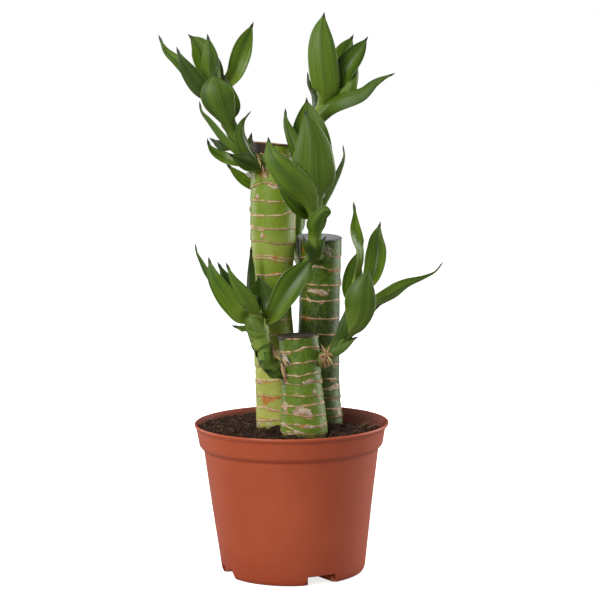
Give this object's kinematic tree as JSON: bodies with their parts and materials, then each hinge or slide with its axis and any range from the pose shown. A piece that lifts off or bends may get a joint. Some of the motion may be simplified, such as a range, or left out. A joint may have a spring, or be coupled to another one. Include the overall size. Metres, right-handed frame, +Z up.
{
  "type": "potted lucky bamboo",
  "caption": "Potted lucky bamboo: upright ringed canes of unequal height, cut flat and sealed with wax, with arching leafy shoots, in a round tapered grower's pot of soil.",
  "frame": {"origin": "middle of the pot's underside, on the surface that it stands on", "axes": "+Z up through the pot and the canes; -Y is the front, with the short cane; +X is the right of the plant seen from the front"},
  "size_m": [0.173, 0.1262, 0.3471],
  "materials": {
    "pot_plastic": "satin terracotta-coloured moulded plastic",
    "soil": "moist dark peat with bark crumbs and fibres, matt",
    "cane": "smooth green fleshy cane with dry tan leaf scars",
    "sealing_wax": "thin grey wax over a cut end, satin",
    "leaf": "smooth green leaf, satin gloss, paler underside"
  },
  "bodies": {
    "root": {"pot": "pot_plastic", "soil": "soil", "cane_tall": "cane", "cane_middle": "cane", "cane_short": "cane", "wax_seal_tall": "sealing_wax", "wax_seal_middle": "sealing_wax", "wax_seal_short": "sealing_wax", "shoot_tall_left": "leaf", "shoot_tall_back": "leaf", "shoot_middle_back": "leaf", "shoot_middle_front": "leaf", "shoot_short_left": "leaf", "shoot_short_right": "leaf"}
  },
  "joints": []
}
